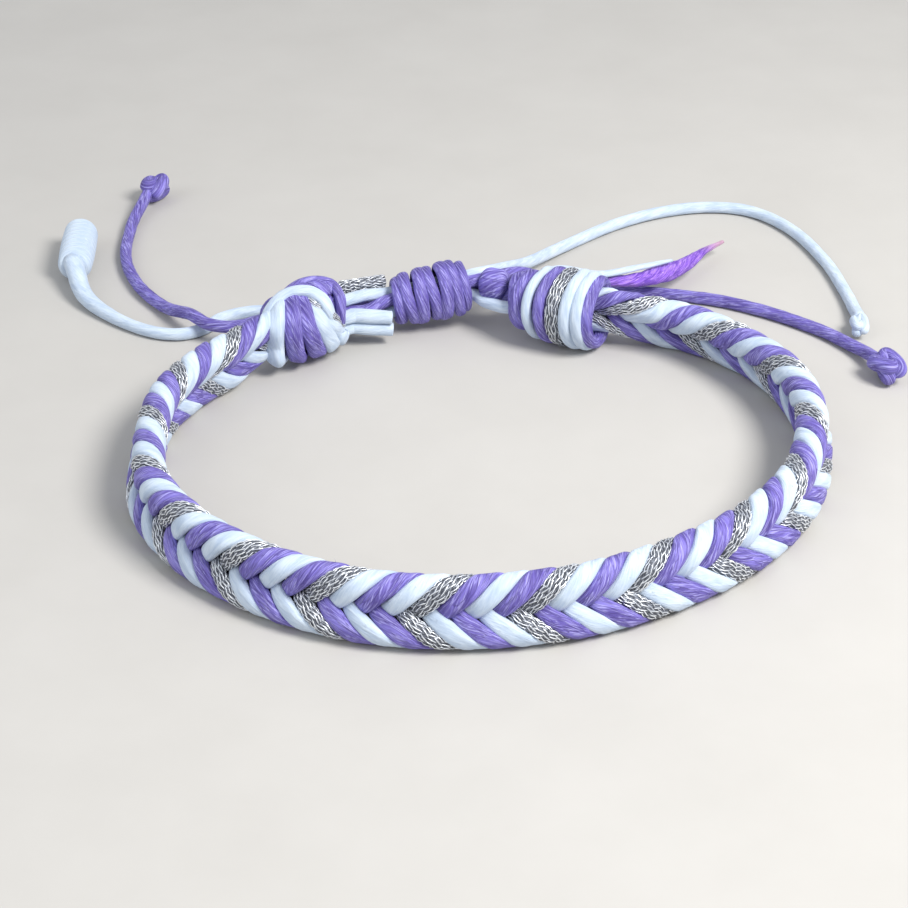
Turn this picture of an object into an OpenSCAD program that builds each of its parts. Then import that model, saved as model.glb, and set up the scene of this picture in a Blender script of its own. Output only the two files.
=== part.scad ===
/* [Braid] */
// Height of the band from edge to edge
band_h = 7.8; // [7.6:0.1:8.6]
// Distance of a cord on either face from the middle of the band
face_rise = 1.5; // [1.36:0.02:1.6]
// Step along the band from one cord to the next
pitch = 2.7; // [2.65:0.05:2.9]
// Diameter of a braiding cord where it turns at an edge
edge_d = 1.3; // [1:0.02:1.32]
// Diameter of a braiding cord where it is squeezed under the others
dive_d = 0.7; // [0.5:0.02:0.72]
// Inward lean of the standing band, in degrees
lean = 12; // [4:1:14]
// Further inward lean of the band's far right stretch, in degrees
far_lean = 16; // [0:1:18]

/* [Knots] */
// Diameter of the overhand knot at the right end of the braid
right_knot_d = 9.8; // [9.2:0.1:9.8]
// Diameter of the overhand knot at the left end of the braid
left_knot_d = 10.4; // [9.6:0.1:10.4]
// Diameter of the sliding knot
sliding_knot_d = 6.9; // [6.8:0.1:7.4]
// Turns of cord that show on the right knot
right_knot_turns = 7; // [5:1:8]
// Turns of cord that show on the left knot
left_knot_turns = 5; // [4:1:6]
// Turns of cord round the sliding knot
sliding_knot_turns = 6; // [5:1:7]
// Diameter of one turn of cord round the right knot
right_wrap_d = 1.7; // [1.6:0.1:1.9]
// Diameter of one turn of cord round the left knot
left_wrap_d = 1.9; // [1.8:0.1:2.1]
// Diameter of one turn of cord round the sliding knot
sliding_wrap_d = 1.6; // [1.5:0.1:1.8]

/* [Closure cords] */
// Diameter of a closure cord
cord_d = 1.5; // [1.2:0.1:1.5]
// Diameter of the hole through the sliding knot
channel_d = 4.2; // [4.1:0.05:4.5]
// Diameter of the two purple end knots
purple_end_knot_d = 4; // [3.4:0.1:4]
// Diameter of the small white end knot
small_end_knot_d = 3.2; // [2.8:0.1:3.2]
// Diameter of the long white end knot
long_end_knot_d = 4.6; // [4:0.1:4.6]
// Diameter of one turn in the small white end knot
small_end_wrap_d = 1.8; // [1.6:0.1:2]
// Diameter of one turn in the other end knots
end_wrap_d = 2.2; // [2:0.1:2.4]

/* [Hidden] */

// Middle of the anklet in the plan that all places are given in
plan_middle = [3.25, 5.8];
// Gap between two pieces that meet
gap = 0.1;
// Turn in degrees that one pitch adds to the round of each of the eight cords
turn_per_pitch = 360 / 8;
// Cords from the bottom edge cross half a pitch after those from the top edge
half_pitch_shift = 11.5;
// On both faces a cord reaches the middle sooner than an even turn would, by this turn in degrees
face_lead = 10;
// Share of the third wave that straightens a cord between edge and middle
straighten = 0.06;
edge_reach = (band_h - edge_d) / 2 / (1 + straighten);
// Pitches from the right knot to the first silver cord on the top edge
first_silver = 2;
// Pitches by which the cords at the front lie further along than an even spacing puts them
front_drift = 1.65;
// Bottom edge of the band above the table
table_gap = 0.11;
// The band narrows and rises into its knots over this length
gather_l = 9;
gather = 0.78;
// The further lean grows over this length from the right knot, holds, and fades out between two more places
far_lean_grow_l = 8;
far_lean_hold_l = 18;
far_lean_end_l = 34;
rings_per_pitch = 2;
strand_sides = 6;
cord_sides = 8;
plan_steps = 8;
cut_steps = 3;
// Spans of a cord longer than this get a ring in their middle
long_span = 6;
long_steps = 2;
// The heading of the band is taken from this far before a place to this far after it
heading_reach = 1;
turned_fn = 48;

// Plan of the braid's middle line, from the right knot round the front to the left knot
braid_plan = [
    [17.1, 25.15], [20.7, 24.5], [25.6, 23.8], [31, 20.4], [36, 14.3], [39.1, 6.1], [39.5, -3], [36.5, -13.5],
    [30, -22.5], [22, -28.8], [13.5, -33], [4.5, -35], [-4.5, -35], [-12.5, -33], [-20, -29],
    [-27, -22.8], [-32, -14.5], [-33.2, -5.5], [-32.6, 3], [-29.5, 10], [-25.4, 14.9], [-20.95, 19.2]
];
// Each knot's middle, its length, and the turn and tilt of its axis in degrees
right_knot_at = [12.3, 26.2, 4.9];
right_knot_l = 9.6;
right_knot_turn = -14;
right_knot_bulge = 1;
left_knot_at = [-17.6, 22.2, 5.2];
left_knot_l = 8.8;
left_knot_turn = 42;
left_knot_bulge = 1.1;
sliding_knot_at = [-3, 30, 4.4];
sliding_knot_l = 9.2;
sliding_knot_turn = 10;
sliding_knot_tilt = 9;
sliding_knot_bulge = 0.3;

// Closure cords, from the face of an overhand knot through the sliding knot to the end knot
white_right_route = [
    [-14.1, 25.25, 5.65], [-10.9, 27.8, 5.3], [-7.95, 29.95, 4.5], [-3.25, 30.75, 5.2], [1.4, 31.6, 5.95],
    [4.2, 33.2, 5.8], [6.6, 37, 4.4], [9.6, 42.8, 2.2], [14, 49.5, 0.9], [21.5, 56.5, 0.8],
    [28.5, 60.5, 0.8], [35, 61.8, 0.8], [40.5, 60.2, 0.8], [45, 54.5, 0.8], [48, 45.5, 0.8],
    [49.3, 37, 0.8], [49.6, 32.6, 1], [49.7, 29.4, 1.5]
];
purple_right_route = [
    [-14.05, 25.15, 4], [-12.9, 26.05, 3.95], [-10.6, 26.75, 3.8], [-7.65, 28.35, 4.45],
    [-3, 29.2, 5.2], [1.7, 30, 5.95], [4.6, 31.3, 5.95], [8, 33.6, 5.4], [12, 36.4, 3],
    [16.5, 37.8, 1.3], [24, 37.2, 0.8], [32.4, 35.2, 0.8], [38.8, 31.9, 0.8], [44.8, 27.1, 0.8],
    [48.6, 22, 1.1], [50.05, 18.45, 1.8]
];
white_left_route = [
    [7.25, 26.6, 4.2], [5.7, 27, 4.2], [3.8, 28.5, 4.1], [1.9, 29.95, 4.35], [-2.75, 29.25, 3.6],
    [-7.4, 28.4, 2.85], [-10.5, 28.9, 1.5], [-15, 30.6, 0.8], [-20, 31.8, 0.8], [-25, 32, 0.8],
    [-28.6, 30.3, 0.8], [-30.6, 27.6, 0.8], [-33.5, 26.2, 0.8], [-37.5, 27.2, 0.8],
    [-42.3, 30.8, 0.8], [-46.2, 35.4, 1], [-48.25, 41.15, 2.1]
];
purple_left_route = [
    [7.65, 28.35, 5], [6.3, 28.9, 4.8], [4.2, 30.9, 4.2], [1.65, 31.7, 4.3], [-3, 30.8, 3.6],
    [-7.7, 30, 2.85], [-11.5, 30.2, 3], [-16, 29.8, 2.9], [-21, 27.6, 2.8], [-26, 25, 2.6],
    [-29.6, 25.6, 2.5], [-32.2, 28.2, 2.5], [-35.8, 32.6, 1.1], [-39.8, 38.6, 0.9],
    [-42.5, 46.6, 0.8], [-42.9, 56, 0.9], [-41.75, 63.2, 1.8]
];
// Cut ends that the overhand knots leave free, with the width at each point
purple_cut_route = [
    [13.3, 31.8, 5.4], [18.6, 32.4, 4.8], [23, 35.2, 3.6], [26.6, 38.8, 2.7], [29.8, 42.6, 2.2],
    [32.4, 46.4, 2], [35, 49, 2]
];
purple_cut_widths = [1.4, 1.6, 2.3, 2.9, 2, 1.1, 0.5];
white_cut_route = [[12.9, 31.8, 6.8], [17.8, 31.8, 6.1], [22.9, 35.6, 5.1], [27.4, 39.3, 4.2]];
white_cut_widths = [1.4, 1.3, 1.1, 0.6];
// Height of a flattened cut end as a share of its width
purple_cut_flat = 0.7;
white_cut_flat = 0.6;
left_silver_route = [[-15.3, 26.35, 6.5], [-14.2, 27.4, 6.4], [-11.8, 29.2, 5.95], [-8.6, 30.8, 5.75]];
left_white_upper_route = [[-12.95, 23.8, 4.4], [-12, 24.5, 4.3], [-10.2, 24.8, 4.05], [-7.5, 25.1, 3.7]];
left_white_lower_route = [[-13.15, 24, 2.75], [-12.2, 24.7, 2.65], [-10.2, 24.9, 2.4], [-7.4, 25.2, 2.05]];
left_cut_widths = [1.5, 1.5, 1.5, 1.4];

// End knots: middle, and the turn of the cord that comes in
white_right_end_at = [49.8, 27.2, 1.6];
white_right_end_turn = -88;
purple_right_end_at = [50.9, 16.3, 2];
purple_right_end_turn = -70;
white_left_end_at = [-48.5, 46.3, 2.3];
white_left_end_turn = 93;
purple_left_end_at = [-40.8, 65.4, 2];
purple_left_end_turn = 66;
small_end_knot_l = 4;
small_end_turns = 2;
long_end_knot_l = 9.6;
long_end_turns = 5;
long_end_bulge = 0.4;

function unit(v) = v / norm(v);
function last(list) = list[len(list) - 1];
// Smooth curve from b to c with neighbours a and d, where t runs from 0 to 1
function bend(a, b, c, d, t) =
    0.5 * (2 * b + (c - a) * t + (2 * a - 5 * b + 4 * c - d) * t * t + (3 * b - a - 3 * c + d) * t * t * t);
// Smooth line through points, with more steps on spans longer than long
function smooth(points, steps, long = -1) =
    let (p = concat([2 * points[0] - points[1]], points, [2 * last(points) - points[len(points) - 2]]))
    concat(
        [for (i = [1 : len(p) - 3])
            let (n = norm(p[i + 1] - p[i]) > long ? steps : 1)
            for (k = [0 : n - 1]) bend(p[i - 1], p[i], p[i + 1], p[i + 2], k / n)],
        [last(points)]
    );
// Length of a line up to each of its points
function runs(points) = [
    for (i = 0, run = 0; i < len(points);
        run = run + norm(points[min(i + 1, len(points) - 1)] - points[i]), i = i + 1) run
];
// Soft step from 0 to 1
function ease(t) = let (u = min(1, max(0, t))) u * u * (3 - 2 * u);

plan_line = smooth(braid_plan, plan_steps);
plan_runs = runs(plan_line);
braid_l = last(plan_runs);
plan_x = [for (i = [0 : len(plan_line) - 1]) [plan_runs[i], plan_line[i].x]];
plan_y = [for (i = [0 : len(plan_line) - 1]) [plan_runs[i], plan_line[i].y]];
function plan_at(run) = [lookup(run, plan_x), lookup(run, plan_y), 0];
function heading(run) = unit(plan_at(run + heading_reach) - plan_at(run - heading_reach));
function outward(run) = let (h = heading(run)) [-h.y, h.x, 0];
function lean_at(run) =
    lean + far_lean * ease(run / far_lean_grow_l)
        * ease((far_lean_end_l - run) / (far_lean_end_l - far_lean_hold_l));
function face_normal(run) = outward(run) * cos(lean_at(run)) + [0, 0, sin(lean_at(run))];
function band_up(run) = [0, 0, cos(lean_at(run))] - outward(run) * sin(lean_at(run));

function band_mid_z(run) = edge_reach * (1 + straighten) * cos(lean_at(run)) + edge_d / 2 + table_gap;
function full_share(run) = ease(min(run, braid_l - run) / gather_l);
function band_size(run) = gather + (1 - gather) * full_share(run);
function knot_z(run) = run < braid_l / 2 ? right_knot_at.z : left_knot_at.z;
function band_middle(run) =
    plan_at(run) + [0, 0, band_mid_z(run) + (knot_z(run) - band_mid_z(run)) * (1 - full_share(run))];
// Round of a cord in the braid: 0 at the top edge, 180 at the bottom edge
function round_angle(i, run) =
    let (drift = front_drift * sin(180 * run / braid_l),
        x = turn_per_pitch * (run / pitch - i - first_silver - drift))
    x + half_pitch_shift * sin(x) + face_lead * sin(x) * sin(x);
function strand_point(i, run) =
    let (a = round_angle(i, run),
        height = edge_reach * (cos(a) + straighten * cos(3 * a)),
        depth = face_rise * sin(2 * a))
    band_middle(run) + (band_up(run) * height + face_normal(run) * depth) * band_size(run);
function strand_radius(i, run) =
    band_size(run) * (edge_d + dive_d + (edge_d - dive_d) * cos(2 * round_angle(i, run))) / 4;

// Ring of points across a direction, pressed flat along the axis nearest to side
function ring(point, dir, side, radius, sides, flat = 1) =
    let (u = unit(side - dir * (side * dir)), v = cross(dir, u))
    [for (k = [0 : sides - 1])
        point + radius * (v * cos(360 * k / sides) + u * sin(360 * k / sides) * flat)];
// Closed tube through rings with the same number of points
module skin(rings) {
    n = len(rings[0]);
    m = len(rings);
    sides = [
        for (j = [0 : m - 2], k = [0 : n - 1], half = [0, 1])
            let (a = j * n + k, b = j * n + (k + 1) % n)
            half == 0 ? [a, b, b + n] : [a, b + n, a + n]
    ];
    first = [for (k = [n - 1 : -1 : 0]) k];
    end = [for (k = [0 : n - 1]) (m - 1) * n + k];
    polyhedron([for (ring = rings, point = ring) point], concat(sides, [first, end]));
}
module home() {
    translate([-plan_middle.x, -plan_middle.y, 0]) children();
}

module strand(i) {
    count = ceil(braid_l / pitch * rings_per_pitch);
    step = (braid_l - 2 * gap) / count;
    home() skin([
        for (k = [0 : count])
            let (run = gap + k * step,
                along = unit(strand_point(i, run + gap) - strand_point(i, run - gap)),
                dir = k == 0 || k == count ? heading(run) : along)
            ring(strand_point(i, run), dir, face_normal(run), strand_radius(i, run), strand_sides)
    ]);
}
module silver_strand(i) {
    color("darkslategray") strand(i);
}
module white_strand(i) {
    color("ghostwhite") strand(i);
}
module purple_strand(i) {
    color("mediumpurple") strand(i);
}

module tube(line, widths, flat = 1) {
    home() skin([
        for (k = [0 : len(line) - 1])
            let (dir = unit(line[min(len(line) - 1, k + 1)] - line[max(0, k - 1)]))
            ring(line[k], dir, [0, 0, 1], widths[k] / 2, cord_sides, flat)
    ]);
}
module closure_cord(route) {
    line = smooth(route, long_steps, long_span);
    tube(line, [for (point = line) cord_d]);
}
module cut_end(route, widths, flat = 1) {
    wide = smooth([for (w = widths) [w]], cut_steps);
    tube(smooth(route, cut_steps), [for (w = wide) w.x], flat);
}

// Half outline of a wound knot: turns of cord side by side on a core, along its axis
module wound_outline(length, diameter, turns, turn_d, bulge) {
    middles = [
        for (k = [0 : turns - 1]) let (t = 2 * k / (turns - 1) - 1)
            [(diameter - turn_d) / 2 - bulge * t * t, (length - turn_d) * t / 2]
    ];
    intersection() {
        union() {
            for (middle = middles) translate(middle) circle(d = turn_d);
            polygon(concat([[0, -length / 2], [middles[0].x, -length / 2]], middles,
                [[last(middles).x, length / 2], [0, length / 2]]));
        }
        translate([0, -length]) square([diameter, 2 * length]);
    }
}
module lay(place, turn, tilt = 0) {
    home() translate(place) rotate([0, 90 - tilt, turn]) children();
}
module wound_knot(length, diameter, turns, turn_d, bulge = 0) {
    rotate_extrude($fn = turned_fn) wound_outline(length, diameter, turns, turn_d, bulge);
}
module right_knot() {
    color("mediumpurple")
        lay(right_knot_at, right_knot_turn)
            wound_knot(right_knot_l, right_knot_d, right_knot_turns, right_wrap_d, right_knot_bulge);
}
module left_knot() {
    color("ghostwhite")
        lay(left_knot_at, left_knot_turn)
            wound_knot(left_knot_l, left_knot_d, left_knot_turns, left_wrap_d, left_knot_bulge);
}
module sliding_knot() {
    color("mediumpurple")
        lay(sliding_knot_at, sliding_knot_turn, sliding_knot_tilt)
            difference() {
                wound_knot(
                    sliding_knot_l, sliding_knot_d, sliding_knot_turns, sliding_wrap_d, sliding_knot_bulge
                );
                cylinder(h = sliding_knot_l + 2, d = channel_d, center = true, $fn = turned_fn);
            }
}
module white_right_end_knot() {
    color("ghostwhite")
        lay(white_right_end_at, white_right_end_turn)
            wound_knot(small_end_knot_l, small_end_knot_d, small_end_turns, small_end_wrap_d);
}
module purple_right_end_knot() {
    color("mediumpurple")
        lay(purple_right_end_at, purple_right_end_turn)
            wound_knot(small_end_knot_l, purple_end_knot_d, small_end_turns, end_wrap_d);
}
module white_left_end_knot() {
    color("ghostwhite")
        lay(white_left_end_at, white_left_end_turn)
            wound_knot(long_end_knot_l, long_end_knot_d, long_end_turns, end_wrap_d, long_end_bulge);
}
module purple_left_end_knot() {
    color("mediumpurple")
        lay(purple_left_end_at, purple_left_end_turn)
            wound_knot(small_end_knot_l, purple_end_knot_d, small_end_turns, end_wrap_d);
}
module left_cut_silver() {
    color("darkslategray") cut_end(left_silver_route, left_cut_widths);
}
module left_cut_white_upper() {
    color("ghostwhite") cut_end(left_white_upper_route, left_cut_widths);
}
module left_cut_white_lower() {
    color("ghostwhite") cut_end(left_white_lower_route, left_cut_widths);
}
module purple_cut_end() {
    color("mediumpurple") cut_end(purple_cut_route, purple_cut_widths, purple_cut_flat);
}
module white_cut_end() {
    color("ghostwhite") cut_end(white_cut_route, white_cut_widths, white_cut_flat);
}
module white_right_cord() {
    color("ghostwhite") closure_cord(white_right_route);
}
module purple_right_cord() {
    color("mediumpurple") closure_cord(purple_right_route);
}
module white_left_cord() {
    color("ghostwhite") closure_cord(white_left_route);
}
module purple_left_cord() {
    color("mediumpurple") closure_cord(purple_left_route);
}

silver_strand(0);  // strand_silver_a
white_strand(1);  // strand_white_a
purple_strand(2);  // strand_purple_a
white_strand(3);  // strand_white_b
silver_strand(4);  // strand_silver_b
purple_strand(5);  // strand_purple_b
white_strand(6);  // strand_white_c
purple_strand(7);  // strand_purple_c
right_knot();
left_knot();
sliding_knot();
left_cut_silver();
left_cut_white_upper();
left_cut_white_lower();
purple_cut_end();
white_cut_end();
white_right_cord();
purple_right_cord();
white_left_cord();
purple_left_cord();
white_right_end_knot();
purple_right_end_knot();
white_left_end_knot();
purple_left_end_knot();
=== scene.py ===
"""Braided anklet on a pale table: a flat braid of eight cords, two overhand knots and a sliding knot."""

import math
import random

import bpy
import numpy as np
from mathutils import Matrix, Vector


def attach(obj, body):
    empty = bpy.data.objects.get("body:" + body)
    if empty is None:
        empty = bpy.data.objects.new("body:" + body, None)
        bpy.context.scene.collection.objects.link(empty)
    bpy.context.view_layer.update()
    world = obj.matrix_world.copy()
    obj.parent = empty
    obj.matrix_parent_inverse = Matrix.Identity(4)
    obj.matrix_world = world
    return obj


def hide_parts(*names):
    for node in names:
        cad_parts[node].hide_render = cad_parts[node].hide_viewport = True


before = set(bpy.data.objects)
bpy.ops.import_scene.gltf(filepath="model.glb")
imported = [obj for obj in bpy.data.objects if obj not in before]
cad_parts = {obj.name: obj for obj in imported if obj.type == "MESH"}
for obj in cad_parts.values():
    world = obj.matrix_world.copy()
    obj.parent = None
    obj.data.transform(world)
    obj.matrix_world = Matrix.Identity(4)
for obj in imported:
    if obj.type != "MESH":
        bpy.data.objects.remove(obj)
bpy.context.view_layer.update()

# Sizes are in millimetres, and places are on the plan that the part's source uses
MM = 0.001
PLAN_MIDDLE = np.array([3.25, 5.8, 0.0])
UP = np.array([0.0, 0.0, 1.0])
random.seed(7)

# Steps of a curve between two of its points: most curves, then the braid's plan and the cut ends
CURVE_STEPS = 12
FINE_STEPS = 16
# Squareness of a cord's section: a plain ellipse, and the full section of soft cord
ELLIPSE = 2
SOFT_SQUARE = 2.2

# Camera: its target is the plan's own origin
CAMERA_ELEVATION = math.radians(32)
CAMERA_DISTANCE = 245 * MM
CAMERA_LENS = 86.94
CAMERA_SENSOR = 36
CAMERA_CLIP = 10 * MM

# Braid
BAND_H = 7.8
EDGE_D = 1.3
PITCH = 2.7
LEAN = math.radians(12)
# Further lean of the far right stretch: it grows from the right knot, holds, and fades out
FAR_LEAN = math.radians(16)
FAR_LEAN_GROW_L = 8
FAR_LEAN_HOLD_L = 18
FAR_LEAN_END_L = 34
# A cord's turn round its section in each pitch, a little uneven so that its arms lie straight
TURN_PER_PITCH = math.tau / 8
HALF_PITCH_SHIFT = math.radians(11.5)
FACE_LEAD = math.radians(10)
STRAIGHTEN = 0.06
EDGE_REACH = (BAND_H - EDGE_D) / 2 / (1 + STRAIGHTEN)
# Where the chevrons lie, in pitches: the first silver one, and their drift along the front
FIRST_SILVER = 2.0
FRONT_DRIFT = 1.65
TABLE_GAP = 0.11
# The band is full past this length from a knot, and gathered to this share of its size at the knot
GATHER_L = 9
GATHER = 0.78
# A dressed cord is fuller than its solid and lies closer to the band's middle
FACE_RISE = 1.22
ARM_HALF_WIDTH = 0.95
DIVE_HALF_WIDTH = 0.88
HALF_THICK = 0.6
ARM_SQUARE = 2.8
# How quickly a cord passes from one face to the other in the band's middle, and how softly over its edges
DIVE_QUICK = 0.7
EDGE_SOFT = 3.0
# Soft cord is pressed flat on the table, this far above it
PRESSED = 0.01
# Length of a strand that is hidden inside the knot at each end
BURIED = 2.5
# The band's middle line goes on straight past that by this length
PAST_BURIED = 2
# Its heading is taken between places this far behind and ahead
HEADING_REACH = 1
# Slow waves in a strand's size: share of its size, radians a millimetre and shift from strand to strand
UNEVEN_LONG = (0.035, 0.37, 2.1)
UNEVEN_SHORT = (0.025, 0.83, 1.3)

# Middle line of the braid, from the right knot round the front to the left knot
BRAID_PLAN = [
    [17.1, 25.15], [20.7, 24.5], [25.6, 23.8], [31, 20.4], [36, 14.3], [39.1, 6.1], [39.5, -3], [36.5, -13.5],
    [30, -22.5], [22, -28.8], [13.5, -33], [4.5, -35], [-4.5, -35], [-12.5, -33], [-20, -29],
    [-27, -22.8], [-32, -14.5], [-33.2, -5.5], [-32.6, 3], [-29.5, 10], [-25.4, 14.9], [-20.95, 19.2],
]
# Middle of each large knot, its length, and the turn and tilt of its axis in degrees
RIGHT_KNOT_AT = [12.3, 26.2, 4.9]
RIGHT_KNOT_L = 9.6
LEFT_KNOT_AT = [-17.6, 22.2, 5.2]
LEFT_KNOT_L = 8.8
LEFT_KNOT_TURN = 42
SLIDING_KNOT_AT = [-3, 30, 4.4]
SLIDING_KNOT_TURN = 10
SLIDING_KNOT_TILT = 9

# Closure cords: each leaves an overhand knot and runs through the sliding knot to its end knot
CORD_D = 1.5
CORD_STEP = 0.4
CORD_ROUTES = {
    "white_right_cord": [
        [-14.1, 25.25, 5.65], [-10.9, 27.8, 5.3], [-7.95, 29.95, 4.5], [-3.25, 30.75, 5.2],
        [1.4, 31.6, 5.95], [4.2, 33.2, 5.8], [6.6, 37, 4.4], [9.6, 42.8, 2.2], [14, 49.5, 0.9],
        [21.5, 56.5, 0.8], [28.5, 60.5, 0.8], [35, 61.8, 0.8], [40.5, 60.2, 0.8], [45, 54.5, 0.8],
        [48, 45.5, 0.8], [49.3, 37, 0.8], [49.6, 32.6, 1], [49.7, 29.4, 1.5],
    ],
    "purple_right_cord": [
        [-14.05, 25.15, 4], [-12.9, 26.05, 3.95], [-10.6, 26.75, 3.8], [-7.65, 28.35, 4.45],
        [-3, 29.2, 5.2], [1.7, 30, 5.95], [4.6, 31.3, 5.95], [8, 33.6, 5.4], [12, 36.4, 3],
        [16.5, 37.8, 1.3], [24, 37.2, 0.8], [32.4, 35.2, 0.8], [38.8, 31.9, 0.8], [44.8, 27.1, 0.8],
        [48.6, 22, 1.1], [50.05, 18.45, 1.8],
    ],
    "white_left_cord": [
        [7.25, 26.6, 4.2], [5.7, 27, 4.2], [3.8, 28.5, 4.1], [1.9, 29.95, 4.35], [-2.75, 29.25, 3.6],
        [-7.4, 28.4, 2.85], [-10.5, 28.9, 1.5], [-15, 30.6, 0.8], [-20, 31.8, 0.8], [-25, 32, 0.8],
        [-28.6, 30.3, 0.8], [-30.6, 27.6, 0.8], [-33.5, 26.2, 0.8], [-37.5, 27.2, 0.8],
        [-42.3, 30.8, 0.8], [-46.2, 35.4, 1], [-48.25, 41.15, 2.1],
    ],
    "purple_left_cord": [
        [7.65, 28.35, 5], [6.3, 28.9, 4.8], [4.2, 30.9, 4.2], [1.65, 31.7, 4.3], [-3, 30.8, 3.6],
        [-7.7, 30, 2.85], [-11.5, 30.2, 3], [-16, 29.8, 2.9], [-21, 27.6, 2.8], [-26, 25, 2.6],
        [-29.6, 25.6, 2.5], [-32.2, 28.2, 2.5], [-35.8, 32.6, 1.1], [-39.8, 38.6, 0.9],
        [-42.5, 46.6, 0.8], [-42.9, 56, 0.9], [-41.75, 63.2, 1.8],
    ],
}

# Colours of the strands, in their order in the braid
STRANDS = ["silver", "white", "purple", "white", "silver", "purple", "white", "purple"]
# Distance between the rings of a strand's mesh
STEPS = {"silver": 0.2, "purple": 0.3, "white": 0.45}
# Number and longest length of the fibres that stand out of a strand
FIBRES = {"white": (150, 0.9), "purple": (90, 0.8)}
FIBRE_HALF = 0.022
FIBRE_SIDES = 3
FIBRE_POINTS = 6
# A fibre's root as a share of the strand's half thickness, and its least length as a share of the longest
FIBRE_ROOT = 0.9
FIBRE_SHORTEST = 0.4
# As shares of its length: how far a fibre stands out, leans along the strand, curls, and droops in its curl
FIBRE_OUT = 0.35
FIBRE_LEAN = 1.2
FIBRE_CURL = 0.7
FIBRE_DROOP = 0.3
FIBRE_TAPER = 0.7
# The loose purple end fades between these runs along it
FADE_FROM = 27.5
FADE_TO = 32.5

# Knots at the tails' ends: place, turn in degrees, size, cord's thickness in it, and turns of a wound one
END_KNOTS = {
    "white_right_cord": {"place": [49.4, 27.3, 1.5], "turn": -98, "length": 3.5, "width": 2.5, "cord": 1.15},
    "purple_right_cord": {"place": [50.9, 16.3, 2], "turn": -70, "length": 4.6, "width": 4, "cord": 1.75},
    "white_left_cord": {
        "place": [-48.5, 46.3, 2.3], "turn": 93, "length": 9.6, "width": 4.6, "cord": 1.7, "turns": 8,
    },
    "purple_left_cord": {"place": [-40.8, 65.4, 2], "turn": 66, "length": 4.4, "width": 4, "cord": 1.75},
}
# A tied end knot: its rings, and half thickness as a share of its cord
END_KNOT_RINGS = 120
END_KNOT_HALF_THICK = 0.45
# The wound end knot, in shares of its cord: half width of a turn, and depth of the bundle inside
WOUND_HALF_WIDTH = 0.58
WOUND_BUNDLE_DEPTH = 0.07
# Length of that bundle past the turns, its taper, and how much smaller the outer turns are
WOUND_BUNDLE_PAST = 0.9
WOUND_BUNDLE_TAPER = 0.85
WOUND_OUTER_LESS = 0.1
# Lean of its turns, in degrees
WOUND_LEAN = 10
# The bundle inside a knot: its rings, how far it ends inside the knot, and its taper
HEART_RINGS = 24
HEART_SHORT = 0.4
HEART_TAPER = 0.6
# A turn round a knot: its rings, its sway along the knot's axis, and how the sway shifts with its place
TURN_RINGS = 80
TURN_SWAY = 0.1
TURN_SWAY_SHIFT = 5
# Turns are held within some reach of their knot's middle, along its axis: this one leaves them free
FREE_REACH = 99.0

# Turns of the right knot: colour, place along its axis, radius, half width, bow of the front, lean in degrees
RIGHT_KNOT_TURNS = [
    ("purple", -4.6, 2.5, 0.95, 0, -14), ("purple", -3.25, 3.0, 1.0, 1.1, -5),
    ("white", -1.35, 3.75, 0.64, 1.1, -5), ("purple", 0.2, 3.95, 0.72, 1.1, -5),
    ("silver", 1.75, 4.05, 0.88, 1.0, -5), ("white", 3.4, 4.15, 0.78, 0.8, -5),
    ("white", 4.85, 4.05, 0.78, 0.6, -5), ("purple", 5.9, 3.7, 0.85, 0.25, -5),
]
RIGHT_KNOT_REACH = 9
RIGHT_KNOT_RINGS = 140
RIGHT_KNOT_HEART = 3.6
RIGHT_KNOT_HALF_THICK = 0.75
# The knot's cords lie a little further round than its solid, and one bulges over the cords that leave it
RIGHT_KNOT_LAY_TURN = -21
NECK_LOBE = {"place": [4.9, 29.6, 5.9], "length": 4.5, "radius": 1.9, "taper": 0.97}
# Turns of the sliding knot: place along its axis, radius, half width, lean in degrees
SLIDING_KNOT_TURNS = [
    (-3.9, 2.3, 0.8, 5), (-2.65, 2.65, 0.8, -6), (-1.25, 2.8, 0.85, 7), (0.3, 2.75, 0.78, -4),
    (1.75, 2.95, 0.85, 5), (3.15, 2.9, 0.72, -4), (4.15, 2.5, 0.65, 2),
]
SLIDING_KNOT_HALF_THICK = 0.66
# Right, up and towards the camera, for cords placed as the camera sees them
VIEW_AXES = np.array([[1, 0, 0], [0, 0.53, 0.848], [0, -0.848, 0.53]])
# Form that the left knot's cords lie on: radius across its axis and half length along it
LEFT_KNOT_ROUND = 3.4
LEFT_KNOT_REACH = 6
LEFT_KNOT_HEART = 3.1
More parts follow.
